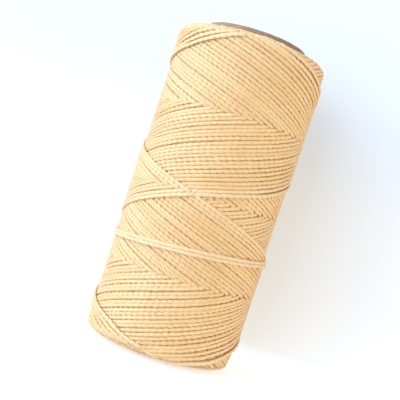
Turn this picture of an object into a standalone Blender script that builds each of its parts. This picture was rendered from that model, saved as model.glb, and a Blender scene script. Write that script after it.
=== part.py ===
"""Waxed thread spool: waxed thread cross-wound on a paper tube, its end held by two wraps.

The spool stands upright on its tube, with the tube's axis on Z and its lower rim at Z = 0.
Sizes are in metres. Angles round the spool start at +X and grow towards +Y.
"""

import math

import bmesh
import bpy
import numpy as np
from mathutils import Matrix

MM = 0.001

# Paper tube, rolled from three glued plies
TUBE_LENGTH = 127.0 * MM
TUBE_BORE = 34.0 * MM
INNER_PLY_WALL = 0.6 * MM
MIDDLE_PLY_WALL = 0.8 * MM
OUTER_PLY_WALL = 0.6 * MM
GLUE_LINE = 0.3 * MM

# Thread package on the tube
PACKAGE_DIAMETER = 60.0 * MM
PACKAGE_LENGTH = 120.8 * MM
TUBE_BELOW_THREAD = 2.1 * MM
SHOULDER_RADIUS = 2.0 * MM
TOUCH_GAP = 0.3 * MM

# Outer winding: each double stroke runs up the package and down again
THREAD_DIAMETER = 1.25 * MM
STRAND_GAP = 0.43 * MM
DOUBLE_STROKE_COUNT = 6
TURNS_PER_STROKE = 2
REVERSAL_ANGLE = math.radians(30.0)
START_ANGLE = math.radians(22.5)
TAIL_PAST_WRAPS = 14.0 * MM

# Two tie-off wraps, in a plane that rises towards +X
WRAP_HEIGHT = 41.8 * MM
WRAP_TURNS = 2
WRAP_TILT = math.radians(4.4)
WRAP_START_ANGLE = math.radians(97.5)

# Facets
POINTS_PER_TURN = 24
TUBE_SEGMENTS = 64
PACKAGE_SEGMENTS = 2 * POINTS_PER_TURN
SHOULDER_STEPS = 4
SAMPLES_PER_STEP = 12
MERGE_DISTANCE = 0.00001
SHARP_EDGE = math.radians(40.0)

# Colours, as linear red, green and blue
KRAFT_PAPER = (0.33, 0.215, 0.125)
KRAFT_LINER = (0.40, 0.27, 0.16)
WAXED_THREAD = (0.83, 0.63, 0.40)
THREAD_IN_SHADE = (0.62, 0.42, 0.23)

# Sizes that follow from those above
STEP_ANGLE = 2.0 * math.pi / POINTS_PER_TURN
CHORD = math.cos(STEP_ANGLE / 2.0)
THREAD_RADIUS = THREAD_DIAMETER / 2.0
TUBE_RADIUS = TUBE_BORE / 2.0 + INNER_PLY_WALL + MIDDLE_PLY_WALL + OUTER_PLY_WALL + 2.0 * GLUE_LINE
DOWN_STROKE_RADIUS = PACKAGE_DIAMETER / 2.0 - THREAD_RADIUS
UP_STROKE_RADIUS = DOWN_STROKE_RADIUS - (THREAD_DIAMETER + STRAND_GAP) / CHORD
PACKAGE_CORE_RADIUS = UP_STROKE_RADIUS * CHORD - THREAD_RADIUS - TOUCH_GAP
WRAP_RADIUS = DOWN_STROKE_RADIUS + (THREAD_DIAMETER + TOUCH_GAP) / CHORD
WRAP_PITCH = THREAD_DIAMETER + STRAND_GAP
STROKE_STEPS = round((2.0 * math.pi * TURNS_PER_STROKE - REVERSAL_ANGLE) / STEP_ANGLE)
STROKE_ANGLE = STROKE_STEPS * STEP_ANGLE
LOWEST_STRAND = TUBE_BELOW_THREAD + THREAD_RADIUS
HIGHEST_STRAND = TUBE_BELOW_THREAD + PACKAGE_LENGTH - THREAD_RADIUS
RISE_PER_RADIAN = (HIGHEST_STRAND - LOWEST_STRAND) / (STROKE_ANGLE - REVERSAL_ANGLE)


def clear_scene():
    for old_object in list(bpy.data.objects):
        bpy.data.objects.remove(old_object, do_unlink=True)
    for old_collection in list(bpy.data.collections):
        bpy.data.collections.remove(old_collection)


def make_material(name, colour, roughness):
    material = bpy.data.materials.new(name)
    material.use_nodes = True
    shader = material.node_tree.nodes["Principled BSDF"]
    shader.inputs["Base Color"].default_value = (*colour, 1.0)
    shader.inputs["Roughness"].default_value = roughness
    shader.inputs["Metallic"].default_value = 0.0
    return material


def add_object(name, data, collection, spool, material):
    data.materials.append(material)
    piece = bpy.data.objects.new(name, data)
    piece.parent = spool
    collection.objects.link(piece)
    return piece


def turned_piece(name, profile, segments, collection, spool, material):
    """A closed profile of (radius, height) points, down its outer side first, turned about Z."""
    outline = bpy.data.meshes.new(name + "_profile")
    shape = bmesh.new()
    corners = [shape.verts.new((radius, 0.0, height)) for radius, height in profile]
    for here, after in zip(corners, corners[1:] + corners[:1]):
        shape.edges.new((here, after))
    shape.to_mesh(outline)
    shape.free()
    piece = add_object(name, outline, collection, spool, material)
    turn = piece.modifiers.new("turn", "SCREW")
    turn.angle = 2.0 * math.pi
    turn.steps = segments
    turn.render_steps = segments
    turn.use_merge_vertices = True
    turn.merge_threshold = MERGE_DISTANCE
    shade_round(piece, outline)


def shade_round(piece, outline):
    """Gives the piece its turned mesh, shaded smooth but for the edges of its rims."""
    depsgraph = bpy.context.evaluated_depsgraph_get()
    turned = bpy.data.meshes.new_from_object(piece.evaluated_get(depsgraph))
    piece.modifiers.clear()
    piece.data = turned
    bpy.data.meshes.remove(outline)
    turned.name = piece.name
    turned.shade_smooth()
    turned.set_sharp_from_angle(angle=SHARP_EDGE)


def ring_profile(inner_radius, outer_radius, bottom, top):
    return [(outer_radius, top), (outer_radius, bottom), (inner_radius, bottom), (inner_radius, top)]


def add_paper_tube(collection, spool, kraft, liner):
    """Three plies, from the bore outwards, with a line of glue between each two."""
    plies = [
        ("core_inner_ply", INNER_PLY_WALL, liner),
        ("core_middle_ply", MIDDLE_PLY_WALL, kraft),
        ("core_outer_ply", OUTER_PLY_WALL, liner),
    ]
    radius = TUBE_BORE / 2.0
    for name, wall, material in plies:
        profile = ring_profile(radius, radius + wall, 0.0, TUBE_LENGTH)
        turned_piece(name, profile, TUBE_SEGMENTS, collection, spool, material)
        radius += wall + GLUE_LINE


def add_inner_layers(collection, spool, material):
    """The thread under the outer winding, as one ring with rounded shoulders."""
    bottom = TUBE_BELOW_THREAD
    top = TUBE_BELOW_THREAD + PACKAGE_LENGTH
    inner_radius = (TUBE_RADIUS + TOUCH_GAP) / math.cos(math.pi / PACKAGE_SEGMENTS)
    centre = PACKAGE_CORE_RADIUS - SHOULDER_RADIUS
    bends = [math.pi / 2.0 * step / SHOULDER_STEPS for step in range(SHOULDER_STEPS + 1)]
    upper = [
        (centre + SHOULDER_RADIUS * math.sin(bend), top - SHOULDER_RADIUS * (1.0 - math.cos(bend)))
        for bend in bends
    ]
    lower = [(radius, bottom + top - height) for radius, height in reversed(upper)]
    profile = upper + lower + [(inner_radius, bottom), (inner_radius, top)]
    turned_piece("thread_inner_layers", profile, PACKAGE_SEGMENTS, collection, spool, material)


def strand_height(angle):
    """Height on the outer winding: steady strokes whose reversals are parabolas."""
    stroke, along = divmod(angle, STROKE_ANGLE)
    from_turn = min(along, STROKE_ANGLE - along)
    if from_turn < REVERSAL_ANGLE:
        climbed = RISE_PER_RADIAN * from_turn * from_turn / (2.0 * REVERSAL_ANGLE)
    else:
        climbed = RISE_PER_RADIAN * (from_turn - REVERSAL_ANGLE / 2.0)
    starts_low = int(stroke) % 2 == 0
    near_low = starts_low == (along < STROKE_ANGLE / 2.0)
    return LOWEST_STRAND + climbed if near_low else HIGHEST_STRAND - climbed


def strand_radius(step):
    """Up strokes lie on the inner layers, down strokes on the up strokes; it changes at a reversal."""
    stroke, along = divmod(step, STROKE_STEPS)
    if along == 0 and step > 0:
        return (UP_STROKE_RADIUS + DOWN_STROKE_RADIUS) / 2.0
    return DOWN_STROKE_RADIUS if stroke % 2 else UP_STROKE_RADIUS


def round_point(angle, radius, height):
    return (radius * math.cos(angle), radius * math.sin(angle), height)


def last_winding_step():
    """The winding ends on its last down stroke, where its tail has passed under the wraps."""
    step = (2 * DOUBLE_STROKE_COUNT - 1) * STROKE_STEPS
    tail_drop = TAIL_PAST_WRAPS * RISE_PER_RADIAN / math.hypot(RISE_PER_RADIAN, DOWN_STROKE_RADIUS)
    lowest = max(WRAP_HEIGHT - tail_drop, LOWEST_STRAND)
    while strand_height((step + 1) * STEP_ANGLE) > lowest:
        step += 1
    return step


def outer_winding_points():
    return [
        round_point(START_ANGLE + step * STEP_ANGLE, strand_radius(step), strand_height(step * STEP_ANGLE))
        for step in range(last_winding_step() + 1)
    ]


def wrap_points():
    """Turns side by side, each a pitch above the last, in the tilted plane."""
    steps = WRAP_TURNS * POINTS_PER_TURN
    points = []
    for step in range(steps + 1):
        angle = WRAP_START_ANGLE + step * STEP_ANGLE
        climb = WRAP_PITCH * (step / POINTS_PER_TURN - WRAP_TURNS / 2.0)
        tilt = WRAP_RADIUS * math.tan(WRAP_TILT) * math.cos(angle)
        points.append(round_point(angle, WRAP_RADIUS, WRAP_HEIGHT + tilt + climb))
    return points


def least_gap(points):
    """The least clear distance between parts of one strand that aren't neighbours along it."""
    corners = np.array(points)
    shares = np.arange(SAMPLES_PER_STEP) / SAMPLES_PER_STEP
    runs = corners[:-1, None, :] + shares[None, :, None] * np.diff(corners, axis=0)[:, None, :]
    samples = runs.reshape(-1, 3)
    next_turn = SAMPLES_PER_STEP * POINTS_PER_TURN // 6
    nearest = min(
        np.linalg.norm(samples[index + next_turn:] - sample, axis=1).min()
        for index, sample in enumerate(samples[:-next_turn])
    )
    return nearest - THREAD_DIAMETER


def add_thread(name, points, collection, spool, material):
    """One unbroken tube through the points, with its ends closed."""
    curve = bpy.data.curves.new(name, "CURVE")
    curve.dimensions = "3D"
    curve.bevel_depth = THREAD_RADIUS
    curve.bevel_resolution = 1
    curve.resolution_u = 1
    curve.render_resolution_u = 0
    curve.use_fill_caps = True
    strand = curve.splines.new("POLY")
    strand.points.add(len(points) - 1)
    for corner, point in zip(strand.points, points):
        corner.co = (*point, 1.0)
    add_object(name, curve, collection, spool, material)
    print(f"{name}: {len(points)} points, least gap to itself {least_gap(points) / MM:.2f} mm")


def main():
    clear_scene()
    collection = bpy.data.collections.new("waxed_thread_spool")
    bpy.context.scene.collection.children.link(collection)
    spool = bpy.data.objects.new("spool", None)
    spool.matrix_world = Matrix.Identity(4)
    collection.objects.link(spool)

    kraft = make_material("kraft_paper", KRAFT_PAPER, 0.85)
    liner = make_material("kraft_liner", KRAFT_LINER, 0.8)
    thread = make_material("waxed_thread", WAXED_THREAD, 0.5)
    shaded_thread = make_material("thread_in_shade", THREAD_IN_SHADE, 0.6)

    add_paper_tube(collection, spool, kraft, liner)
    add_inner_layers(collection, spool, shaded_thread)
    add_thread("outer_winding", outer_winding_points(), collection, spool, thread)
    add_thread("tie_off_wraps", wrap_points(), collection, spool, thread)


main()
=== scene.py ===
import math

import bpy
import numpy as np
from mathutils import Matrix, Vector


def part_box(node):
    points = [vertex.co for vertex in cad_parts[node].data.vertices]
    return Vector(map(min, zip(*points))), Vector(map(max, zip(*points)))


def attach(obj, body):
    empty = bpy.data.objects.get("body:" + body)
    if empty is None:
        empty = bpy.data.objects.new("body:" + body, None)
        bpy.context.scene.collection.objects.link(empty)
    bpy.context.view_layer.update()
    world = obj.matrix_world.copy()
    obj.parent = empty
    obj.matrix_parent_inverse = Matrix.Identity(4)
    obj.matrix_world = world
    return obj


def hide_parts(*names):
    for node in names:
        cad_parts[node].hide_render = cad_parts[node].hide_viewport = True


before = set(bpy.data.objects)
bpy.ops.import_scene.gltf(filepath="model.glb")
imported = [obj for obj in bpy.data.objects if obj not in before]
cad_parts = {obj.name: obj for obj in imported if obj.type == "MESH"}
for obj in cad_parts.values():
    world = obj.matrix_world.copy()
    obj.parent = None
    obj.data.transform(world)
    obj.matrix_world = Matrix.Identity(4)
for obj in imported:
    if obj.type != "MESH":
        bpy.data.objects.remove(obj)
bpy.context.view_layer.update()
mm = 0.001
rng = np.random.default_rng(27)
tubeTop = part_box("core_outer_ply")[1][2]


# The camera is level with the middle of the spool, and rolled as the photograph is
camera = {
    "distance": 0.3137,          # from the tube's axis
    "eyeHeight": 0.0625,
    "aimAcross": -0.0018,        # how far right of the axis the picture's middle lies
    "aimHeight": 0.0608,
    "roll": 18.1,                # degrees that the spool leans to the right
    "lens": 72.0,
    "sensor": 36.0,
}


def placeCamera():
    eye = Vector((0.0, -camera["distance"], camera["eyeHeight"]))
    look = (Vector((camera["aimAcross"], 0.0, camera["aimHeight"])) - eye).normalized()
    right = look.cross(Vector((0.0, 0.0, 1.0))).normalized()
    up = right.cross(look)
    lean = math.radians(camera["roll"])
    cameraRight = right * math.cos(lean) + up * math.sin(lean)
    cameraUp = up * math.cos(lean) - right * math.sin(lean)
    data = bpy.data.cameras.new("camera")
    data.lens = camera["lens"]
    data.sensor_width = camera["sensor"]
    data.clip_start = 0.01
    obj = bpy.data.objects.new("camera", data)
    turn = Matrix((cameraRight, cameraUp, -look)).transposed().to_4x4()
    obj.matrix_world = Matrix.Translation(eye) @ turn
    bpy.context.scene.collection.objects.link(obj)
    bpy.context.scene.camera = obj


placeCamera()
print("camera placed")


# Helpers for shapes
def smooth(x):
    x = np.clip(x, 0.0, 1.0)
    return x * x * (3.0 - 2.0 * x)


def slowNoise(place, step, amount, most=2.2):
    knots = np.clip(rng.normal(0.0, 1.0, int(place.max() / step) + 3), -most, most) * amount
    index = np.floor(place / step).astype(int)
    blend = smooth(place / step - index)
    return knots[index] * (1 - blend) + knots[index + 1] * blend


def roundAxis(radius, angle, height):
    return np.stack(np.broadcast_arrays(radius * np.cos(angle), radius * np.sin(angle), height), -1)


def closedQuads(columns, rows):
    # The faces of a grid that closes on itself both ways
    column = np.arange(columns)[:, None]
    row = np.arange(rows)[None, :]
    nextColumn, nextRow = (column + 1) % columns, (row + 1) % rows
    return np.stack([column * rows + row, nextColumn * rows + row,
                     nextColumn * rows + nextRow, column * rows + nextRow], -1).reshape(-1)


def addMap(obj, name, uv):
    layer = obj.data.uv_layers.new(name=name)
    layer.data.foreach_set("uv", uv.astype(np.float32).ravel())


def meshObject(name, vertices, loops, totals, surface):
    # loops lists the faces' corners one after the other, totals how many each face has
    mesh = bpy.data.meshes.new(name)
    mesh.vertices.add(len(vertices))
    mesh.vertices.foreach_set("co", vertices.astype(np.float32).ravel())
    mesh.loops.add(len(loops))
    mesh.loops.foreach_set("vertex_index", loops.astype(np.int32))
    mesh.polygons.add(len(totals))
    starts = np.concatenate([[0], np.cumsum(totals)[:-1]])
    mesh.polygons.foreach_set("loop_start", starts.astype(np.int32))
    mesh.polygons.foreach_set("loop_total", totals.astype(np.int32))
    mesh.polygons.foreach_set("use_smooth", np.ones(len(totals), bool))
    mesh.update(calc_edges=True)
    mesh.validate()
    mesh.materials.append(surface)
    obj = bpy.data.objects.new(name, mesh)
    bpy.context.scene.collection.objects.link(obj)
    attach(obj, "root")
    return obj


# Helpers for materials
def newMaterial(name):
    material = bpy.data.materials.new(name)
    material.use_nodes = True
    tree = material.node_tree
    return material, tree, tree.nodes["Principled BSDF"]


def addNode(tree, kind, **settings):
    node = tree.nodes.new(kind)
    for key, value in settings.items():
        setattr(node, key, value)
    return node


def addNoise(tree, vector, scale, detail=3.0, roughness=0.55):
    node = addNode(tree, "ShaderNodeTexNoise")
    node.inputs["Scale"].default_value = scale
    node.inputs["Detail"].default_value = detail
    node.inputs["Roughness"].default_value = roughness
    tree.links.new(vector, node.inputs["Vector"])
    return node.outputs["Fac"]


def addRamp(tree, factor, stops):
    node = addNode(tree, "ShaderNodeValToRGB")
    ramp = node.color_ramp
    while len(ramp.elements) < len(stops):
        ramp.elements.new(0.5)
    for element, (place, colour) in zip(ramp.elements, stops):
        element.position = place
        element.color = (*colour, 1.0)
    tree.links.new(factor, node.inputs["Fac"])
    return node.outputs["Color"]


def addMix(tree, factor, first, second, blend="MIX"):
    # Inputs 6 and 7 and output 2 are those that hold colours
    node = addNode(tree, "ShaderNodeMix", data_type="RGBA", blend_type=blend)
    for socket, value in ((node.inputs[0], factor), (node.inputs[6], first), (node.inputs[7], second)):
        if isinstance(value, bpy.types.NodeSocket):
            tree.links.new(value, socket)
        elif isinstance(value, tuple):
            socket.default_value = (*value, 1.0)
        else:
            socket.default_value = value
    return node.outputs[2]


def addMath(tree, operation, first, second=0.0, third=0.0):
    node = addNode(tree, "ShaderNodeMath", operation=operation)
    for socket, value in zip(node.inputs, (first, second, third)):
        if isinstance(value, bpy.types.NodeSocket):
            tree.links.new(value, socket)
        else:
            socket.default_value = value
    return node.outputs[0]


def addBump(tree, height, distance, strength):
    node = addNode(tree, "ShaderNodeBump")
    node.inputs["Strength"].default_value = strength
    node.inputs["Distance"].default_value = distance
    tree.links.new(height, node.inputs["Height"])
    return node.outputs["Normal"]


# Waxed thread: cream fibres laid in three plies, under a thin coat of wax
thread = {
    "width": 1.63 * mm,
    "thickness": 1.08 * mm,
    "plies": 3,
    "plyDepth": 0.36,            # of the grooves between the plies
    "plyBreadth": 1.3,           # above 1, the crests of the plies are broader
    "lay": 7.05 * mm,            # one full turn of the plies
    "unevenness": 0.075,         # how much a ply swells and shrinks
    "swellStep": 2.6 * mm,
    # colours, each at its place in the pattern
    "tints": [(0.38, (0.890, 0.570, 0.255)), (0.60, (0.945, 0.665, 0.345))],
    "streaks": [(0.30, (0.75, 0.50, 0.27)), (0.58, (1.0, 0.985, 0.95))],
    "streakAmount": 0.40,
    "fibresAround": 30.0,
    "fibresAlong": 420.0,        # changes in a streak, per metre
    "fibreLean": 260.0,          # how the fibres cross the plies, per metre
    "fibreHeight": 0.05 * mm,
    "fibreBump": 0.6,
    "strandTints": 2.1,          # per metre: each strand gets a shade of its own
    "strandShare": 0.6,          # of the tint; the rest is patches
    "patches": 55.0,             # per metre
    # painted shade in the grooves between the plies
    "grooveShade": (0.80, 0.66, 0.47),
    "grooveAmount": 0.28,
    "grooveEdge": 2.5,           # the higher, the narrower the dark line
    # painted shade on the strand's sides: from faces that look sideways, at the next strand, to those that
    # look out
    "flanks": [(0.30, (0.97, 0.80, 0.50)), (0.90, (1.0, 1.0, 1.0))],
    # painted shade: the inner layers are the same thread, made darker because they lie deep under the winding
    "insideShade": (0.80, 0.736, 0.656),
    "newest": (0.95, 0.75, 0.48),    # the last turns are paler
    "newestFrom": 29.0,          # metres along the thread
    "newestOver": 3.1,           # metres over which that comes in
    "newestAmount": 0.42,
    "roughness": 0.50,
    "roughnessSpread": 0.22,
    "finish": {
        "Specular IOR Level": 0.6,
        "Coat Weight": 0.2,
        "Coat Roughness": 0.48,
        "Sheen Weight": 1.0,
        "Sheen Roughness": 0.55,
        "Sheen Tint": (1.0, 0.80, 0.52, 1.0),
        "Subsurface Weight": 0.35,
        "Subsurface Radius": (1.0, 0.55, 0.28),
        "Subsurface Scale": 0.9 * mm,
    },
}


def fibreStreaks(tree, along, around):
    # Fine fibres run along each ply, leaning a little across it
    slant = addMath(tree, "MULTIPLY_ADD", along, thread["fibreLean"] / thread["fibresAround"], around)
    fibres = addNode(tree, "ShaderNodeCombineXYZ")
    tree.links.new(addMath(tree, "MULTIPLY", along, thread["fibresAlong"]), fibres.inputs[0])
    tree.links.new(addMath(tree, "MULTIPLY", slant, thread["fibresAround"]), fibres.inputs[1])
    return addNoise(tree, fibres.outputs[0], 1.0, detail=4.0, roughness=0.6)


def strandTint(tree, along, place):
    # A shade of its own for each strand, and slow patches where the wax lies thicker
    strandPlace = addNode(tree, "ShaderNodeCombineXYZ")
    tree.links.new(along, strandPlace.inputs[0])
    ofStrand = addNoise(tree, strandPlace.outputs[0], thread["strandTints"], detail=1.0)
    ofPatch = addNoise(tree, place, thread["patches"])
    share = thread["strandShare"]
    tint = addMath(tree, "MULTIPLY_ADD", ofStrand, share, addMath(tree, "MULTIPLY", ofPatch, 1.0 - share))
    return addRamp(tree, tint, thread["tints"])


def grooveShadeShare(tree, around):
    # Share of painted shade in the grooves: nothing on the crest of a ply, and the most halfway to the next
    inPly = addMath(tree, "FRACT", addMath(tree, "MULTIPLY", around, float(thread["plies"])))
    nearCrest = addMath(tree, "ABSOLUTE", addMath(tree, "MULTIPLY_ADD", inPly, 2.0, -1.0))
    groove = addMath(tree, "POWER", addMath(tree, "SUBTRACT", 1.0, nearCrest), thread["grooveEdge"])
    return addMath(tree, "MULTIPLY", groove, thread["grooveAmount"])


def facingOut(tree, coords):
    # 1 where the surface looks straight out from the tube's axis, 0 where it looks sideways
    fromAxis = addNode(tree, "ShaderNodeVectorMath", operation="MULTIPLY")
    fromAxis.inputs[1].default_value = (1.0, 1.0, 0.0)
    tree.links.new(coords.outputs["Object"], fromAxis.inputs[0])
    unit = addNode(tree, "ShaderNodeVectorMath", operation="NORMALIZE")
    tree.links.new(fromAxis.outputs[0], unit.inputs[0])
    facing = addNode(tree, "ShaderNodeVectorMath", operation="DOT_PRODUCT")
    tree.links.new(unit.outputs[0], facing.inputs[0])
    tree.links.new(coords.outputs["Normal"], facing.inputs[1])
    return facing.outputs["Value"]


def newestShare(tree, along):
    over = thread["newestOver"]
    share = addMath(tree, "MULTIPLY_ADD", along, 1 / over, -thread["newestFrom"] / over)
    share = addMath(tree, "MINIMUM", addMath(tree, "MAXIMUM", share, 0.0), 1.0)
    return addMath(tree, "MULTIPLY", addMath(tree, "POWER", share, 2.0), thread["newestAmount"])


def threadMaterial(name, inside):
    material, tree, shader = newMaterial(name)
    split = addNode(tree, "ShaderNodeSeparateXYZ")
    tree.links.new(addNode(tree, "ShaderNodeUVMap", uv_map="strand").outputs["UV"], split.inputs[0])
    along, around = split.outputs[0], split.outputs[1]
    coords = addNode(tree, "ShaderNodeTexCoord")
    streaks = fibreStreaks(tree, along, around)
    colour = strandTint(tree, along, coords.outputs["Object"])
    streakColour = addRamp(tree, streaks, thread["streaks"])
    colour = addMix(tree, thread["streakAmount"], colour, streakColour, "MULTIPLY")

    # Painted shade: the colour is darker in the grooves between the plies, and on the sides of the strand
    # that look towards the next strand
    paintedGrooveShade = addMix(tree, 1.0, colour, thread["grooveShade"], "MULTIPLY")
    colour = addMix(tree, grooveShadeShare(tree, around), colour, paintedGrooveShade)
    colour = addMix(tree, 1.0, colour, addRamp(tree, facingOut(tree, coords), thread["flanks"]), "MULTIPLY")
    # Painted shade on the inner layers, which lie deep under the winding
    if inside:
        colour = addMix(tree, 1.0, colour, thread["insideShade"], "MULTIPLY")
    else:
        colour = addMix(tree, newestShare(tree, along), colour, thread["newest"])
    tree.links.new(colour, shader.inputs["Base Color"])
    spread = thread["roughnessSpread"]
    roughness = addMath(tree, "MULTIPLY_ADD", streaks, spread, thread["roughness"] - spread / 2)
    tree.links.new(roughness, shader.inputs["Roughness"])
    bump = addBump(tree, streaks, thread["fibreHeight"], thread["fibreBump"])
    tree.links.new(bump, shader.inputs["Normal"])
    for socket, value in thread["finish"].items():
        shader.inputs[socket].default_value = value
    return material


threadSurface = threadMaterial("waxed_thread", inside=False)
shadedThreadInside = threadMaterial("waxed_thread_inside_shaded", inside=True)
print("thread finish made")


# Strands of thread are swept along paths, as closed tubes with the plies in their shape
sidesInPly = 4
sides = sidesInPly * thread["plies"]
plySector = 2 * math.pi / thread["plies"]
# The map for a painted copy has the strands in rows, and their cut ends on one spot in the last row
bakeRows = {
    "spare": 1.06,               # a row's length over that of the thread in it
    "edge": 0.04,                # of a row's height, empty on each side
    "endPlace": 0.02,
    "endWidth": 0.01,
    "endHeight": 0.3,
}


def sweepFrame(centres, outward):
    ahead = np.gradient(centres, axis=0)
    ahead /= np.linalg.norm(ahead, axis=1)[:, None]
    up = outward - ahead * np.sum(outward * ahead, axis=1)[:, None]
    up /= np.linalg.norm(up, axis=1)[:, None]
    return up, np.cross(ahead, up)


def strandRings(centres, outward, along, width, thickness):
    up, side = sweepFrame(centres, outward)
    # The corners turn with the plies; on long hidden steps whole sectors are left out of the turn
    turn = 2 * math.pi * np.diff(along, prepend=along[0]) / thread["lay"]
    turn -= plySector * np.round(turn / plySector)
    place = np.arange(sides) / sides * 2 * math.pi
    angles = place[None, :] + np.cumsum(turn)[:, None]
    groove = 1 - np.abs(np.cos(0.5 * thread["plies"] * place))
    lobes = (1 - thread["plyDepth"] * groove ** thread["plyBreadth"])[None, :]
    run = along - along[0]
    swell = [slowNoise(run, thread["swellStep"], thread["unevenness"]) for _ in range(thread["plies"])]
    plyOfSide = (np.arange(sides) + sidesInPly // 2) // sidesInPly % thread["plies"]
    lobes = lobes * (1 + np.stack(swell, 1)[:, plyOfSide])
    high = thickness / 2 * np.cos(angles) * lobes
    wide = width / 2 * np.sin(angles) * lobes
    return centres[:, None, :] + up[:, None, :] * high[..., None] + side[:, None, :] * wide[..., None]


def strandMaps(along, rowLength, firstRow, rowCount):
    # One map in rows for a painted copy, and one in real lengths for the fibres
    share = np.arange(sides + 1) / sides
    first, second = along[:-1, None], along[1:, None]
    ones = np.ones((1, sides))
    uReal = np.stack([first * ones, second * ones, second * ones, first * ones], -1)
    vReal = np.stack([share[:-1], share[:-1], share[1:], share[1:]], -1)[None] * np.ones((len(first), 1, 1))
    row = np.floor((along[:-1] - along[0]) / rowLength)[:, None, None]
    uRow = (uReal - along[0] - row * rowLength) / (rowLength * bakeRows["spare"])
    edge = bakeRows["edge"]
    vRow = (firstRow + row + edge + (1 - 2 * edge) * vReal) / rowCount
    corner = np.arange(sides) / sides * 2 * math.pi
    endU = bakeRows["endPlace"] + bakeRows["endWidth"] * np.cos(corner)
    endV = (rowCount - 0.5 + bakeRows["endHeight"] * np.sin(corner)) / rowCount
    endRow = np.stack([endU, endV], -1)
    endReal = np.stack([np.full(sides, along[0]), share[:-1]], -1)
    rows = np.concatenate([np.stack([uRow, vRow], -1).reshape(-1, 2), endRow, endRow])
    real = np.concatenate([np.stack([uReal, vReal], -1).reshape(-1, 2), endReal, endReal])
    return rows, real


def buildStrands(name, strands, surface, rowLength=0.12,
                 width=thread["width"], thickness=thread["thickness"]):
    # Each strand has its centres, the outward direction at each, and how far along the thread they lie
    rowsOf = [int((along[-1] - along[0]) / rowLength) + 1 for _, _, along in strands]
    rowCount = sum(rowsOf) + 1
    vertices, loops, totals, rowMaps, realMaps = [], [], [], [], []
    base = firstRow = 0
    for (centres, outward, along), rows in zip(strands, rowsOf):
        count = len(centres)
        vertices.append(strandRings(centres, outward, along, width, thickness).reshape(-1, 3))
        ring = base + np.arange(count - 1)[:, None] * sides
        here = np.arange(sides)[None, :]
        after = (here + 1) % sides
        quads = np.stack([ring + here, ring + sides + here, ring + sides + after, ring + after], -1)
        startCap = base + np.arange(sides)
        endCap = base + (count - 1) * sides + np.arange(sides)[::-1]
        loops += [quads.reshape(-1), startCap, endCap]
        totals += [np.full((count - 1) * sides, 4), [sides, sides]]
        rowMap, realMap = strandMaps(along, rowLength, firstRow, rowCount)
        rowMaps.append(rowMap)
        realMaps.append(realMap)
        base += count * sides
        firstRow += rows
    obj = meshObject(name, np.concatenate(vertices), np.concatenate(loops), np.concatenate(totals), surface)
    addMap(obj, "OFBake", np.concatenate(rowMaps))
    addMap(obj, "strand", np.concatenate(realMaps))
    return obj


# The outer winding: each pair of strokes runs down the package and up again, beside the pair before
winding = {
    "meanRadius": 29.5 * mm,     # of the package's surface
    "layer": 0.70 * mm,          # what one crossing layer adds
    "level": 0.96,               # layers that bring the surface to about the mean radius
    "pairs": 42,                 # pairs of strokes before the pattern closes
    "lead": 62.45 * mm,          # rise in one turn
    "turns": 2,                  # in a stroke
    "middle": 62.4 * mm,         # height where the newest strands cross
    "newestAt": -99.1,           # degrees round the spool of that crossing
    "reach": 60.6 * mm,          # of a reversal, above and below the middle
    "shoulder": 2.3 * mm,        # rounding at the upper end
    "lowShoulder": 2.8 * mm,
    "lowTaper": 1.1 * mm,        # the lowest centimetre draws in by this much
    "taperLength": 10.0 * mm,
    "wander": 0.15 * mm,         # how far a strand strays up or down from its even place
    "wanderStep": 2.6,           # radians between its changes
    "bob": 0.035 * mm,           # how far it strays in or out
    "bobStep": 2.3,              # radians
    "ripple": 0.05 * mm,         # rise over each strand beneath
    "leastSpacing": 0.05 * mm,   # between strands that meet at a reversal
    "pileSink": 0.42,            # layers that such strands sink, one beneath another
    "mostPiled": 2.5,            # strands
    # the newest strokes stray from their even place: (radians past the middle, mm up)
    "strayUp": [
        (-6.36, 2.4), (-6.1, 0.3), (-5.8, -1.8), (-5.4, -3.2), (-4.9, -3.0), (-3.0, 0.0), (0.0, 0.0),
        (0.9, -1.8), (1.5, -2.1), (3.0, -0.4), (4.8, -1.4), (5.5, -2.9), (6.0, -2.3), (6.36, -0.5),
    ],
    "strayDown": [
        (-6.36, -0.39), (-5.9, 1.3), (-5.6, 2.1), (-5.3, 2.6), (-4.6, 2.9), (-3.0, 0.0),
        (-1.0, -0.3), (1.3, 0.7), (4.8, 1.3), (5.2, 2.4), (5.8, 3.6), (6.36, 2.4),
    ],
    "strayPairs": 4.0,           # pairs over which that dies away
    "strayLift": 0.11,           # lift of the newest pair, as a share of how far it strays
    "overrun": 2.8,              # radians that the thread goes on after its last whole stroke
    "endTuck": 1.6 * mm,         # the end dips under the turns beside it
    "endTuckOver": 0.35,         # radians
    "fineStep": 0.45 * mm,
    "coarseEvery": 5,            # hidden stretches keep one step in five
    "hiddenMargin": 4,           # steps kept fine at both ends of such a stretch
    "pairsInPiece": 4,
}


def shoulderDrop(height):
    upper = height > winding["middle"]
    inside = winding["reach"] - np.abs(height - winding["middle"])
    shoulder = np.where(upper, winding["shoulder"], winding["lowShoulder"])
    bend = np.clip(1.0 - inside / shoulder, 0.0, 1.0)
    taper = np.where(upper, 0.0, np.clip(1.0 - inside / winding["taperLength"], 0.0, 1.0))
    return shoulder * (1.0 - np.sqrt(1.0 - bend ** 2)) + winding["lowTaper"] * taper


def surfaceRadius(angle, height):
    # The package's own surface, a layer higher behind each newest strand
    rise = (height - winding["middle"]) * 2 * math.pi / winding["lead"] + math.pi / (2 * winding["pairs"])
    lag = math.radians(winding["newestAt"]) - angle
    ages = np.mod(lag + rise, 2 * math.pi) + np.mod(lag - rise, 2 * math.pi)
    layers = winding["level"] - ages / (2 * math.pi)
    return winding["meanRadius"] + winding["layer"] * layers - shoulderDrop(height)


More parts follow.
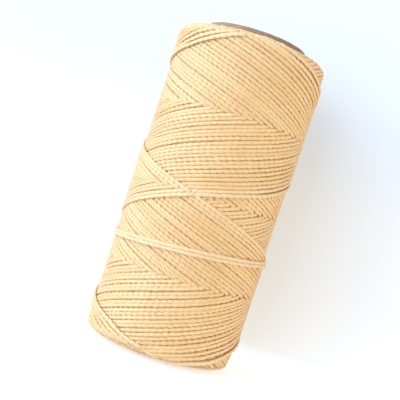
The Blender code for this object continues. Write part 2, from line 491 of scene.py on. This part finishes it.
def windingPath():
    pairs = winding["pairs"]
    shift = 2 * math.pi / pairs
    stroke = 2 * math.pi * winding["turns"] + shift / 2
    perRadian = winding["lead"] / (2 * math.pi)
    rounding = 2 * (stroke / 2 * perRadian - winding["reach"]) / perRadian
    step = winding["fineStep"] / math.hypot(winding["meanRadius"], perRadian)
    turned = np.arange(0.0, 2 * pairs * stroke + winding["overrun"], step)
    strokeIndex = np.floor(turned / stroke).astype(int)
    within = turned - strokeIndex * stroke
    goingUp = strokeIndex % 2 == 1
    past = within - stroke / 2
    rise = np.where(goingUp, past, -past)
    fromTip = np.minimum(within, stroke - within)
    lift = np.where(fromTip < rounding, (rounding - fromTip) ** 2 / (2 * rounding), 0.0)
    height = winding["middle"] + perRadian * (rise - np.sign(rise) * lift)
    angle = math.radians(winding["newestAt"]) - shift / 4 + turned - (2 * pairs - 1.5) * stroke

    # Age in pairs: how many were laid after this one, and after the one that it crosses
    age = pairs - 1 - strokeIndex // 2
    stray = np.where(goingUp, np.interp(past, *np.array(winding["strayUp"]).T),
                     np.interp(past, *np.array(winding["strayDown"]).T)) * mm
    height = height + stray * np.exp(-age / winding["strayPairs"])
    crossing = np.where(goingUp, age - 0.5 - 2 * rise / shift, age + 0.5 + 2 * rise / shift)
    crossing = np.mod(crossing, pairs)
    under = np.where(goingUp, smooth(age - crossing), smooth(age + 1 - crossing))

    # Near a reversal the strands lie closer together and pile up
    tipSlope = perRadian / winding["meanRadius"] * np.clip(fromTip / rounding, 0.0, 1.0)
    spacing = winding["meanRadius"] * shift * tipSlope / np.hypot(1.0, tipSlope) + winding["leastSpacing"]
    piled = np.clip(thread["width"] / spacing - 1.0, 0.0, winding["mostPiled"])
    piled = np.minimum(piled, np.maximum(age, 0))

    layers = winding["level"] - (age + crossing) / pairs
    surface = winding["meanRadius"] + winding["layer"] * layers - shoulderDrop(height)
    ripple = winding["ripple"] * np.cos(2 * math.pi * crossing) * (1 - under)
    sunk = winding["layer"] * (under + winding["pileSink"] * piled)
    radius = surface - thread["thickness"] / 2 - sunk + ripple
    radius += slowNoise(turned, winding["bobStep"], winding["bob"])
    wander = slowNoise(turned, winding["wanderStep"], winding["wander"])
    height = height + wander * smooth(fromTip / rounding)
    radius = radius + np.where(age <= 0, winding["strayLift"] * np.abs(stray), 0.0)
    radius = radius - winding["endTuck"] * smooth(1.0 - (turned[-1] - turned) / winding["endTuckOver"])
    return roundAxis(radius, angle, height), roundAxis(1.0, angle, 0.0), under, strokeIndex


def buildWinding():
    centres, outward, under, strokeIndex = windingPath()
    steps = np.linalg.norm(np.diff(centres, axis=0), axis=1)
    along = np.concatenate([[0.0], np.cumsum(steps)])
    hidden = under > 0.999
    margin = winding["hiddenMargin"]
    deep = hidden & np.roll(hidden, margin) & np.roll(hidden, -margin)
    keep = ~deep | (np.arange(len(deep)) % winding["coarseEvery"] == 0)
    pairIndex = np.minimum(strokeIndex // 2, winding["pairs"] - 1)
    total = 0
    for number, firstPair in enumerate(range(0, winding["pairs"], winding["pairsInPiece"])):
        chosen = (pairIndex >= firstPair) & (pairIndex < firstPair + winding["pairsInPiece"])
        last = np.flatnonzero(chosen)[-1]
        if last + 1 < len(chosen):
            chosen[last + 1] = True
        pick = np.flatnonzero(chosen & (keep | (np.arange(len(chosen)) >= last)))
        strand = (centres[pick], outward[pick], along[pick])
        piece = buildStrands(f"outer_winding_{number + 1}", [strand], threadSurface)
        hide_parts("outer_winding")
        total += len(piece.data.polygons)
    print(f"winding: {along[-1]:.1f} m of thread, {total} faces")


buildWinding()


# The tie-off: the end goes twice round the package and is tucked under itself at the back
tieOff = {
    "radius": 30.0 * mm,         # of the wraps, near enough for their tilt and steps
    "height": 42.2 * mm,
    "tilt": 5.0,                 # degrees, rising to the right
    "spacing": 1.28 * mm,
    "width": 1.56 * mm,
    "thickness": 1.12 * mm,
    "standOut": 0.26 * mm,       # of the strand's middle over the winding's surface
    "start": 96.0,               # degrees round the spool, at the back
    "startDepth": 1.3 * mm,      # the start comes up from under the winding's surface
    "startOver": 0.30,           # radians
    "crossOver": 34.0,           # degrees over which the second turn climbs beside the first
    "tail": 30.0,                # degrees of the tucked end
    "tailDrop": 9.0 * mm,
    "tailEarly": 0.14,           # radians before the second turn ends, where the tail leaves it
    "tailBend": 1.4,             # above 1, the tail leaves gently
    "tuckAt": 0.62,              # spacings below the middle, where the tail goes under the first turn
    "tuckWidth": 1.15 * mm,
    "tuckDepth": 0.85 * mm,
    "alongFrom": 40.0,           # metres along the thread, for its shade
    "step": 0.4 * mm,
    # the surface beneath is evened out over these
    "evenTurns": (-0.12, -0.06, 0.0, 0.06, 0.12),    # radians
    "evenHeights": (-1.5, 0.0, 1.5),                 # mm
}


def buildTieOff():
    wholeTurns = 4 * math.pi
    tail = math.radians(tieOff["tail"])
    climb = math.radians(tieOff["crossOver"])
    early = tieOff["tailEarly"]
    turned = np.arange(0.0, wholeTurns + tail, tieOff["step"] / tieOff["radius"])
    angle = math.radians(tieOff["start"]) + turned
    crossing = smooth((turned - 2 * math.pi + climb) / climb)
    offset = tieOff["spacing"] * (crossing - 0.5)
    intoTail = np.clip((turned - wholeTurns + early) / (tail + early), 0.0, 1.0)
    offset -= tieOff["tailDrop"] * intoTail ** tieOff["tailBend"]
    tilt = tieOff["radius"] * math.tan(math.radians(tieOff["tilt"]))
    height = tieOff["height"] + tilt * np.cos(angle) + offset
    samples = [surfaceRadius(angle + turn, height + rise * mm)
               for turn in tieOff["evenTurns"] for rise in tieOff["evenHeights"]]
    surface = sum(samples) / len(samples)
    lift = tieOff["standOut"] - tieOff["startDepth"] * (1 - smooth(turned / tieOff["startOver"]))
    fromTuck = offset + tieOff["tuckAt"] * tieOff["spacing"]
    underFirst = np.exp(-(fromTuck / tieOff["tuckWidth"]) ** 2) * (intoTail > 0)
    lift = lift - tieOff["tuckDepth"] * underFirst
    centres = roundAxis(surface + lift, angle, height)
    steps = np.linalg.norm(np.diff(centres, axis=0), axis=1)
    along = np.concatenate([[0.0], np.cumsum(steps)]) + tieOff["alongFrom"]
    strand = (centres, roundAxis(1.0, angle, 0.0), along)
    piece = buildStrands("tie_off_wraps_thread", [strand], threadSurface,
                         width=tieOff["width"], thickness=tieOff["thickness"])
    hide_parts("tie_off_wraps")
    print(f"tie-off: {steps.sum():.2f} m of thread")


buildTieOff()


# The inner layers: a packed body under the winding, and the turning strands at both its ends
innerLayers = {
    "innerRadius": 19.75 * mm,
    "outerRadius": 27.9 * mm,
    "endInset": 1.6 * mm,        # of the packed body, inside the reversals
    "corner": 1.5 * mm,
    "levels": 60,                # up its outside
    "columns": 180,
    "ribHeight": 0.06 * mm,      # crossed ribs, as the layers beneath leave them
    "mapAlong": 0.19,            # of the fibres' map, once round
    "mapAround": 30.0,           # and once over the profile
    "ringRadii": [20.6, 21.7, 22.8, 23.9, 25.0, 26.1, 27.1],    # mm, of the reversals
    "ringShift": 0.37,           # of a pitch, from one ring to the next
    "arcHalf": 33.0,             # degrees on each side of a reversal, on a ring of the radius below
    "arcHalfAt": 24.0,           # mm
    "arcPitch": 4.3 * mm,        # between reversals, round the spool
    "arcInset": 0.55 * mm,       # of a reversal, inside the winding's own
    "arcDepth": 3.6 * mm,        # down from a reversal to where its strand goes under
    "arcBow": 0.25 * mm,         # inward at both ends of an arc
    "lean": 0.55 * mm,           # outward from one end of an arc to its middle, and on to the other
    "unevenTurn": 0.012,         # radians
    "unevenInset": 0.35,         # mm
    "unevenRadius": 0.08,        # mm
    "alongFrom": 60.0,           # metres along the thread, for the shades of the arcs
    "alongTo": 90.0,
    "step": 1.0 * mm,
    "leastSteps": 7,
    "rowLength": 0.06,
}


def endHeights():
    return winding["middle"] - winding["reach"], winding["middle"] + winding["reach"]


def endArc(middle, radius, half, tip, inward):
    length = 2 * half * radius
    sweep = np.linspace(-half, half, max(innerLayers["leastSteps"], int(length / innerLayers["step"])))
    share = sweep / half
    angle = middle + sweep
    inset = innerLayers["arcInset"] + innerLayers["arcDepth"] * share ** 2
    height = tip + inward * (inset + rng.uniform(0.0, innerLayers["unevenInset"]) * mm)
    reach = radius + innerLayers["lean"] * share - innerLayers["arcBow"] * share ** 2
    reach = reach + rng.normal(0.0, innerLayers["unevenRadius"]) * mm
    outward = np.zeros((len(sweep), 3))
    outward[:, 2] = -inward
    along = np.linspace(0.0, length, len(sweep))
    along = along + rng.uniform(innerLayers["alongFrom"], innerLayers["alongTo"])
    return roundAxis(reach, angle, height), outward, along


def buildEndArcs(name, tip, inward):
    strands = []
    for ring, radiusMm in enumerate(innerLayers["ringRadii"]):
        radius = radiusMm * mm
        count = int(round(2 * math.pi * radius / innerLayers["arcPitch"]))
        half = math.radians(innerLayers["arcHalf"]) * innerLayers["arcHalfAt"] / radiusMm
        for index in range(count):
            middle = 2 * math.pi * (index + innerLayers["ringShift"] * ring) / count
            middle += rng.normal(0.0, innerLayers["unevenTurn"])
            strands.append(endArc(middle, radius, half, tip, inward))
    piece = buildStrands(name, strands, shadedThreadInside, rowLength=innerLayers["rowLength"])
    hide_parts("thread_inner_layers")
    return len(piece.data.polygons)


def buildPackedBody():
    low, high = endHeights()
    low += innerLayers["endInset"]
    high -= innerLayers["endInset"]
    corner = innerLayers["corner"]
    inner, outer = innerLayers["innerRadius"], innerLayers["outerRadius"]
    profile = [(inner, low), (outer - corner, low), (outer, low + corner)]
    profile += [(outer, z) for z in np.linspace(low + corner, high - corner, innerLayers["levels"])[1:-1]]
    profile += [(outer, high - corner), (outer - corner, high), (inner, high)]
    profile = np.array(profile)
    columns, rows = innerLayers["columns"], len(profile)
    angle = (np.arange(columns) / columns * 2 * math.pi)[:, None]
    height = profile[:, 1][None, :]
    turn = 2 * math.pi * (height - low) / winding["lead"]
    ribs = np.cos(winding["pairs"] * (angle - turn)) + np.cos(winding["pairs"] * (angle + turn))
    onOutside = profile[:, 0] == outer
    radius = profile[:, 0][None, :] + innerLayers["ribHeight"] * ribs * onOutside[None, :]
    vertices = roundAxis(radius, angle, height).reshape(-1, 3)
    quads = closedQuads(columns, rows)
    piece = meshObject("thread_packed_body", vertices, quads, np.full(columns * rows, 4), shadedThreadInside)
    column = np.arange(columns)[:, None]
    row = np.arange(rows)[None, :]
    across = np.stack([column, column + 1, column + 1, column], -1) * np.ones((1, rows, 1))
    upward = np.stack([row, row, row + 1, row + 1], -1) * np.ones((columns, 1, 1))
    addMap(piece, "OFBake", np.stack([across * (1.0 / columns), upward * (1.0 / rows)], -1))
    addMap(piece, "strand", np.stack([across * (innerLayers["mapAlong"] / columns),
                                      upward * (innerLayers["mapAround"] / rows)], -1))
    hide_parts("thread_inner_layers")


buildPackedBody()
lowEnd, highEnd = endHeights()
faces = buildEndArcs("thread_end_turns_top", highEnd, -1.0)
faces += buildEndArcs("thread_end_turns_bottom", lowEnd, 1.0)
print(f"inner layers: {faces} faces of end turns")


# The paper tube: three plies of kraft paper, each wound in a spiral and glued to the next
paper = {
    "fibreScale": (260.0, 2600.0, 1.0),    # per metre, round the tube and along it
    "fibreStops": (0.30, 0.50, 0.72),
    "speckScale": 1500.0,        # per metre
    "speckStops": (0.35, 0.62),
    "speckAmount": 0.30,
    "cloudScale": 90.0,
    "clouds": [(0.35, (0.86, 0.85, 0.84)), (0.65, (1.0, 1.0, 1.0))],
    "cloudAmount": 0.5,
    "roughness": 0.82,
    "roughnessSpread": 0.2,
    "speckHeight": 0.5,          # as a share of the fibres' height
    "bumpHeight": 0.08 * mm,
    "bump": 0.5,
    "specular": 0.3,
}
# colours: dark, main and pale
papers = {
    "kraft_liner": ((0.27, 0.165, 0.095), (0.375, 0.237, 0.142), (0.50, 0.34, 0.215)),
    "kraft_board": ((0.22, 0.145, 0.08), (0.32, 0.22, 0.13), (0.42, 0.31, 0.20)),
}
plies = {
    # node: (inner radius, outer radius, spiral's rise in one turn, seam on the outside, paper, slot)
    "core_inner_ply": (17.0 * mm, 17.73 * mm, 74 * mm, False, "kraft_liner", "kraft_liner"),
    "core_middle_ply": (17.76 * mm, 18.83 * mm, -69 * mm, True, "kraft_board", "kraft_paper"),
    "core_outer_ply": (18.86 * mm, 19.6 * mm, 78 * mm, True, "kraft_liner", "kraft_liner"),
}
plyShape = {
    "columns": 168,
    "rows": 58,
    "nearSeam": [-1.6, -0.9, -0.45, -0.25, -0.12, 0.0, 0.12, 0.25, 0.45, 0.9, 1.6],    # mm, of columns
    "seamHalf": 0.22 * mm,
    "seamDepth": 0.16 * mm,
    "lip": 0.07 * mm,            # one edge of the seam stands up a little
    "lipAt": 0.55 * mm,
    "lipWidth": 1.1 * mm,
    "edge": 0.16 * mm,           # worn rounding of the cut ends
    "edgeInward": 0.9,           # of that, how far the end faces draw in
    "endGap": 0.02 * mm,         # by which the cut ends stay inside the tube's length
    "raggedness": 0.07 * mm,
}


def paperMaterial(name, dark, main, pale):
    material, tree, shader = newMaterial(name)
    stretch = addNode(tree, "ShaderNodeMapping")
    stretch.inputs["Scale"].default_value = paper["fibreScale"]
    tree.links.new(addNode(tree, "ShaderNodeUVMap", uv_map="lengths").outputs["UV"], stretch.inputs["Vector"])
    place = addNode(tree, "ShaderNodeTexCoord").outputs["Object"]
    fibres = addNoise(tree, stretch.outputs[0], 1.0, detail=5.0, roughness=0.65)
    specks = addNoise(tree, place, paper["speckScale"], roughness=0.7)
    clouds = addNoise(tree, place, paper["cloudScale"])
    colour = addRamp(tree, fibres, list(zip(paper["fibreStops"], (dark, main, pale))))
    speckled = addRamp(tree, specks, list(zip(paper["speckStops"], (dark, pale))))
    colour = addMix(tree, paper["speckAmount"], colour, speckled)
    colour = addMix(tree, paper["cloudAmount"], colour, addRamp(tree, clouds, paper["clouds"]), "MULTIPLY")
    tree.links.new(colour, shader.inputs["Base Color"])
    spread = paper["roughnessSpread"]
    roughness = addMath(tree, "MULTIPLY_ADD", specks, spread, paper["roughness"] - spread / 2)
    tree.links.new(roughness, shader.inputs["Roughness"])
    height = addMath(tree, "MULTIPLY_ADD", specks, paper["speckHeight"], fibres)
    tree.links.new(addBump(tree, height, paper["bumpHeight"], paper["bump"]), shader.inputs["Normal"])
    shader.inputs["Specular IOR Level"].default_value = paper["specular"]
    return material


def seamShape(distance):
    # A groove where the strip's edges meet, with one edge lifted
    groove = -plyShape["seamDepth"] * np.exp(-(distance / plyShape["seamHalf"]) ** 2)
    fromLip = np.abs(distance - plyShape["lipAt"])
    return groove + plyShape["lip"] * np.exp(-fromLip / plyShape["lipWidth"]) * (distance > 0)


def plyRows(inner, outer, seamOut, seamIn):
    # The ply's section, from its lower end up the outside and down the inside: (radius, heights, bump)
    count = len(seamOut)
    edge = plyShape["edge"]
    drawn = edge * plyShape["edgeInward"]
    ragged = rng.normal(0.0, 1.0, (2, count))
    ragged = (ragged + np.roll(ragged, 1, 1) + np.roll(ragged, -1, 1)) / 3 * plyShape["raggedness"]
    lowEdge = plyShape["endGap"] + np.abs(ragged[0])
    highEdge = tubeTop - plyShape["endGap"] - np.abs(ragged[1])
    levels = [np.full(count, z) for z in np.linspace(edge, tubeTop - edge, plyShape["rows"])]
    rows = [(outer - drawn, lowEdge, seamOut)]
    rows += [(outer, level, seamOut) for level in levels]
    rows += [(outer - drawn, highEdge, seamOut), (inner + drawn, highEdge, -seamIn)]
    rows += [(inner, level, -seamIn) for level in levels[::-1]]
    rows += [(inner + drawn, lowEdge, -seamIn)]
    return rows


def buildPly(node, inner, outer, rise, seamOutside, surface):
    # Columns follow the spiral and crowd together at the seam
    near = np.array(plyShape["nearSeam"]) * mm / outer
    rest = np.linspace(near[-1], 2 * math.pi + near[0], plyShape["columns"])[1:-1]
    column = np.concatenate([near, rest])
    count = len(column)
    seam = seamShape((np.mod(column + math.pi, 2 * math.pi) - math.pi) * outer)
    even = np.zeros(count)
    rows = plyRows(inner, outer, *((seam, even) if seamOutside else (even, seam)))
    rings = [roundAxis(radius + bump, column + 2 * math.pi * height / rise, height)
             for radius, height, bump in rows]
    vertices = np.stack(rings, 1).reshape(-1, 3)
    quads = closedQuads(count, len(rows))
    piece = meshObject(f"{node}_paper", vertices, quads, np.full(count * len(rows), 4), surface)

    # One map in real lengths for the fibres, and the same one shrunk to fit a painted copy
    radii = np.array([row[0] for row in rows])
    heights = np.array([np.mean(row[1]) for row in rows])
    spans = np.hypot(radii - np.roll(radii, -1), heights - np.roll(heights, -1))
    span = np.concatenate([[0.0], np.cumsum(spans)])
    turned = np.append(column, column[0] + 2 * math.pi) * outer - near[0] * outer
    across = np.stack([turned[:-1], turned[1:], turned[1:], turned[:-1]], -1)[:, None, :]
    across = across * np.ones((1, len(rows), 1))
    upward = np.stack([span[:-1], span[:-1], span[1:], span[1:]], -1)[None] * np.ones((count, 1, 1))
    addMap(piece, "OFBake", np.stack([across / (2 * math.pi * outer), upward / span[-1]], -1))
    addMap(piece, "lengths", np.stack([across, upward], -1))
    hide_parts(node)


paperSurfaces = {name: paperMaterial(name, *colours) for name, colours in papers.items()}
for node, (inner, outer, rise, seamOutside, paperName, slot) in plies.items():
    buildPly(node, inner, outer, rise, seamOutside, paperSurfaces[paperName])
print("paper tube rolled")


# The floor curves up behind the spool, in a white room with four lamps
studio = {
    "wallBehind": 0.041,
    "curve": 0.010,
    "curveSteps": 24,
    "frontEdge": -0.60,
    "wallHeight": 0.60,
    "halfWidth": 0.60,
    "fadeFrom": 0.17,            # the floor and backdrop fade into the white room from here
    "fadeTo": 0.34,              # to here, measured from the foot of the spool
    "white": (0.70, 0.72, 0.735),
    "roomLight": 0.50,
    # painted light for the camera alone, from the floor up to the height below: most near the floor, less and
    # bluer higher up, so that the spool's shadow on the backdrop is deepest and bluish at the top and fades
    # towards the floor
    "lift": [(0.0, (0.62, 0.62, 0.62)), (0.06, (0.37, 0.36, 0.34)), (0.30, (0.305, 0.30, 0.28)),
             (0.62, (0.26, 0.27, 0.265)), (0.92, (0.165, 0.205, 0.25))],
    "liftHeight": 0.122,
    "lampAim": 0.0625,           # height that the lamps point at, on the tube's axis
}
# name: (degrees to the right of the camera, height, distance, size, strength, colour)
lamps = {
    "key_left": (-37.0, 0.13, 0.85, 0.80, 0.59, (0.84, 1.03, 1.36)),
    "soft_left": (-74.0, 0.42, 0.80, 1.00, 1.02, (0.86, 1.02, 1.28)),
    "soft_front": (12.0, 0.08, 0.95, 0.60, 0.03, (1.0, 0.97, 0.92)),
    # this one stands lower than the floor, which casts no shadow and so lets its light through
    "soft_right": (78.0, -0.18, 0.80, 0.80, 0.68, (1.0, 0.93, 0.77)),
}


def addLamp(name, aside, height, distance, size, strength, colour):
    # A strength of 1 lights a white surface that faces the lamp as white
    aim = Vector((0.0, 0.0, studio["lampAim"]))
    turn = math.radians(aside)
    place = Vector((distance * math.sin(turn), -distance * math.cos(turn), height))
    data = bpy.data.lights.new(name, "AREA")
    data.energy = strength * math.pi ** 2 * (place - aim).length_squared
    data.size = size
    data.color = colour
    lamp = bpy.data.objects.new(name, data)
    lamp.location = place
    lamp.rotation_euler = (aim - place).to_track_quat("-Z", "Y").to_euler()
    bpy.context.scene.collection.objects.link(lamp)


def seenDirectly(tree):
    rays = addNode(tree, "ShaderNodeLightPath")
    seen = addMath(tree, "MAXIMUM", rays.outputs["Is Camera Ray"], rays.outputs["Is Glossy Ray"])
    return addMath(tree, "MAXIMUM", seen, rays.outputs["Is Transmission Ray"])


def coveMaterial():
    material = bpy.data.materials.new("pale_floor")
    material.use_nodes = True
    tree = material.node_tree
    tree.nodes.clear()
    place = addNode(tree, "ShaderNodeTexCoord").outputs["Object"]
    diffuse = addNode(tree, "ShaderNodeBsdfDiffuse")
    diffuse.inputs["Color"].default_value = (*studio["white"], 1.0)
    glow = addNode(tree, "ShaderNodeEmission")
    split = addNode(tree, "ShaderNodeSeparateXYZ")
    tree.links.new(place, split.inputs[0])
    height = addMath(tree, "MULTIPLY", split.outputs[2], 1.0 / studio["liftHeight"])
    # Painted light: a glow that is strongest near the floor and bluer towards the top
    tree.links.new(addRamp(tree, height, studio["lift"]), glow.inputs["Color"])
    tree.links.new(seenDirectly(tree), glow.inputs["Strength"])
    both = addNode(tree, "ShaderNodeAddShader")
    tree.links.new(diffuse.outputs[0], both.inputs[0])
    tree.links.new(glow.outputs[0], both.inputs[1])

    # Clear from behind and far from the spool, so that it can be looked at from all sides
    fromMiddle = addNode(tree, "ShaderNodeVectorMath", operation="LENGTH")
    tree.links.new(place, fromMiddle.inputs[0])
    faded = addNode(tree, "ShaderNodeMapRange", interpolation_type="SMOOTHSTEP")
    faded.inputs["From Min"].default_value = studio["fadeFrom"]
    faded.inputs["From Max"].default_value = studio["fadeTo"]
    tree.links.new(fromMiddle.outputs["Value"], faded.inputs["Value"])
    backfacing = addNode(tree, "ShaderNodeNewGeometry").outputs["Backfacing"]
    clear = addNode(tree, "ShaderNodeBsdfTransparent")
    mixed = addNode(tree, "ShaderNodeMixShader")
    tree.links.new(addMath(tree, "MAXIMUM", backfacing, faded.outputs["Result"]), mixed.inputs[0])
    tree.links.new(both.outputs[0], mixed.inputs[1])
    tree.links.new(clear.outputs[0], mixed.inputs[2])
    out = addNode(tree, "ShaderNodeOutputMaterial")
    tree.links.new(mixed.outputs[0], out.inputs["Surface"])
    return material


def buildCove():
    curve, wall = studio["curve"], studio["wallBehind"]
    profile = [(studio["frontEdge"], 0.0), (wall - curve, 0.0)]
    for step in range(1, studio["curveSteps"] + 1):
        bend = math.pi / 2 * step / studio["curveSteps"]
        profile.append((wall - curve + curve * math.sin(bend), curve * (1 - math.cos(bend))))
    profile.append((wall, studio["wallHeight"]))
    half = studio["halfWidth"]
    vertices = [(x, y, z) for y, z in profile for x in (-half, half)]
    faces = [(2 * k, 2 * k + 1, 2 * k + 3, 2 * k + 2) for k in range(len(profile) - 1)]
    mesh = bpy.data.meshes.new("floor_and_backdrop")
    mesh.from_pydata(vertices, [], faces)
    mesh.shade_smooth()
    mesh.materials.append(coveMaterial())
    cove = bpy.data.objects.new("floor_and_backdrop", mesh)
    bpy.context.scene.collection.objects.link(cove)
    cove.visible_shadow = False
    cove.visible_diffuse = False
    cove.visible_glossy = False
    cove.visible_transmission = False


def buildStudio():
    buildCove()
    for name, settings in lamps.items():
        addLamp(name, *settings)
    world = bpy.data.worlds.new("room")
    bpy.context.scene.world = world
    world.use_nodes = True
    tree = world.node_tree
    backdrop = tree.nodes["Background"]
    backdrop.inputs["Color"].default_value = (1.0, 1.0, 1.0, 1.0)
    room = studio["roomLight"]
    strength = addMath(tree, "MULTIPLY_ADD", seenDirectly(tree), 1.0 - room, room)
    tree.links.new(strength, backdrop.inputs["Strength"])
    bpy.context.scene.view_settings.view_transform = "Standard"


buildStudio()
print("studio set")
